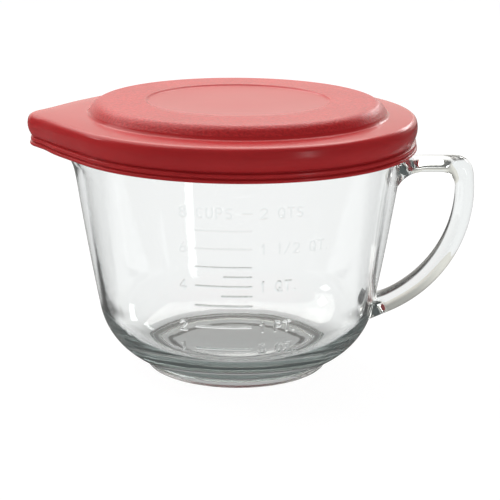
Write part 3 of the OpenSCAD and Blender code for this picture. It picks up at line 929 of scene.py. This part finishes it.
def floorShade(nodes, link):
    # the floor's strength through glass: lit, shaded under the bowl with two dark edges, and dark in a
    # sector at either side, which gives the wall its dark lines
    place, parts = objectPlace(nodes, link)
    reach = nodes.new("ShaderNodeVectorMath")
    reach.operation = "LENGTH"
    link(place, reach.inputs[0])
    far = reach.outputs["Value"]
    shade = socketRamp(nodes, link, far, studio["bowlShade"], (studio["underBowl"], studio["throughGlass"]))
    for ring in studio["ringShades"]:
        within = socketRamp(nodes, link, far, ring[:2], (1.0, studio["underRing"]))
        beyond = socketRamp(nodes, link, far, ring[2:], (studio["underRing"], 1.0))
        shade = joined(nodes, link, "MULTIPLY", shade, joined(nodes, link, "MAXIMUM", within, beyond))
    aside = joined(nodes, link, "ABSOLUTE", joined(nodes, link, "ARCTAN2", parts["X"], parts["Y"]))
    dark = socketRamp(nodes, link, aside, studio["litSector"], (0.0, 1.0))
    limits = ((aside, "litFront", (1.0, 0.0)), (far, "nearBowl", (0.0, 1.0)), (far, "farFloor", (1.0, 0.0)))
    for value, ends, levels in limits:
        dark = joined(nodes, link, "MULTIPLY", dark, socketRamp(nodes, link, value, studio[ends], levels))
    return socketMix(nodes, link, dark, shade, studio["outOfLight"])


def makeFloor():
    # plain white to the camera, as floorShade has it through glass, and a matt floor to everything else
    half, low = studio["floorSize"] / 2 / mm, -studio["floorLow"]
    corners = [(-half, -half, low), (half, -half, low), (half, half, low), (-half, half, low)]
    floor = makeObject("floor", corners, [[0, 1, 2, 3]])
    material, nodes, link, shader, output = newMaterial("floorWhite")
    shader.inputs["Roughness"].default_value = studio["floorRoughness"]
    path = nodes.new("ShaderNodeLightPath").outputs
    link(socketMix(nodes, link, path["Is Glossy Ray"], studio["floorColour"], studio["floorMirrored"]),
         shader.inputs["Base Color"])
    glow = nodes.new("ShaderNodeEmission")
    strength = socketMix(
        nodes, link, path["Is Transmission Ray"], studio["glowStrength"], floorShade(nodes, link))
    link(strength, glow.inputs["Strength"])
    share = socketMix(nodes, link, path["Is Camera Ray"], 0.0, studio["floorGlow"])
    mix = nodes.new("ShaderNodeMixShader")
    link(socketMix(nodes, link, path["Is Transmission Ray"], share, 1.0), mix.inputs["Fac"])
    link(shader.outputs["BSDF"], mix.inputs[1])
    link(glow.outputs["Emission"], mix.inputs[2])
    link(mix.outputs["Shader"], output.inputs["Surface"])
    floor.data.materials.append(material)


def makeWorld():
    # white to what looks straight at it, even light on matt surfaces, and bright only behind the bowl in
    # reflections
    world = bpy.data.worlds.new("studioWorld")
    bpy.context.scene.world = world
    world.use_nodes = True
    nodes, link = world.node_tree.nodes, world.node_tree.links.new
    surround = nodes["Background"]
    path = nodes.new("ShaderNodeLightPath").outputs
    place = nodes.new("ShaderNodeTexCoord")
    parts = nodes.new("ShaderNodeSeparateXYZ")
    link(place.outputs["Generated"], parts.inputs["Vector"])
    rear, up = parts.outputs["Y"], parts.outputs["Z"]
    mirrored = socketRamp(nodes, link, rear, studio["edges"], (studio["front"], studio["back"]))
    level = socketMix(nodes, link, path["Is Glossy Ray"], studio["ambient"], mirrored)
    beyond = joined(nodes, link, "MULTIPLY",
                    socketRamp(nodes, link, up, studio["horizon"], studio["beyondGlass"]),
                    socketRamp(nodes, link, rear, studio["rearward"], (studio["towardsCamera"], 1.0)))
    level = socketMix(nodes, link, path["Is Transmission Ray"], level, beyond)
    level = socketMix(nodes, link, path["Is Camera Ray"], level, 1.0)
    link(level, surround.inputs["Strength"])
    link(colourMix(nodes, link, path["Is Glossy Ray"], white, studio["backColour"]),
         surround.inputs["Color"])


# area lamps: places and sizes in metres, power in watts
lamps = [
    {"name": "overhead", "place": (-0.35, 0.65, 1.3), "aim": (0.0, 0.0, 0.1), "size": (2.2, 1.6),
     "power": 29.0, "colour": (1.0, 0.97, 0.93)},
    {"name": "leftSoft", "place": (-1.2, 0.25, 0.6), "aim": (0.0, 0.0, 0.08), "size": (0.22, 0.22),
     "power": 1.2, "colour": white[:3]},
    {"name": "backRight", "place": (0.70, 1.2, 0.62), "aim": (0.0, 0.0, 0.12), "size": (0.6, 0.15),
     "power": 2.2, "colour": white[:3]},
    {"name": "rightStrip", "place": (0.80, -0.89, 0.24), "aim": (0.0, 0.0, 0.08), "size": (0.14, 0.5),
     "power": 0.9, "colour": white[:3]},
]


def makeLamp(name, place, aim, size, power, colour):
    lamp = bpy.data.lights.new(name, "AREA")
    lamp.shape = "RECTANGLE"
    lamp.size, lamp.size_y = size
    lamp.energy = power
    lamp.color = colour
    holder = bpy.data.objects.new(name, lamp)
    holder.location = place
    holder.rotation_euler = (Vector(aim) - Vector(place)).to_track_quat("-Z", "Y").to_euler()
    bpy.context.scene.collection.objects.link(holder)


# light runs a long way inside thick glass before it comes out again
paths = bpy.context.scene.cycles
paths.max_bounces = studio["bounces"]
paths.glossy_bounces = studio["bounces"]
paths.transmission_bounces = studio["bounces"]

makeFloor()
makeWorld()
for lamp in lamps:
    makeLamp(**lamp)

view = {
    "place": (0.0, -0.84075, 0.30038),  # m
    "pitch": 15.590,          # degrees down
    "roll": -0.467,           # degrees
    "yaw": -0.506,            # degrees
    "focal": 1500.0,          # px in a 500 px frame
    "frame": 500.0,           # px
    "sensor": 36.0,           # mm
    "clip": (0.01, 100.0),    # m
}
lens = bpy.data.cameras.new("photoView")
lens.sensor_width = view["sensor"]
lens.lens = view["sensor"] * view["focal"] / view["frame"]
lens.clip_start, lens.clip_end = view["clip"]
camera = bpy.data.objects.new("photoView", lens)
aim = (Matrix.Rotation(radians(view["yaw"]), 4, "Z") @ Matrix.Rotation(radians(-view["pitch"]), 4, "X")
       @ Matrix.Rotation(radians(view["roll"]), 4, "Y") @ Matrix.Rotation(pi / 2, 4, "X"))
camera.matrix_world = Matrix.Translation(view["place"]) @ aim
bpy.context.scene.collection.objects.link(camera)
bpy.context.scene.camera = camera
bpy.context.scene.view_settings.view_transform = "Standard"
print("studio and camera set")

bpy.context.view_layer.update()
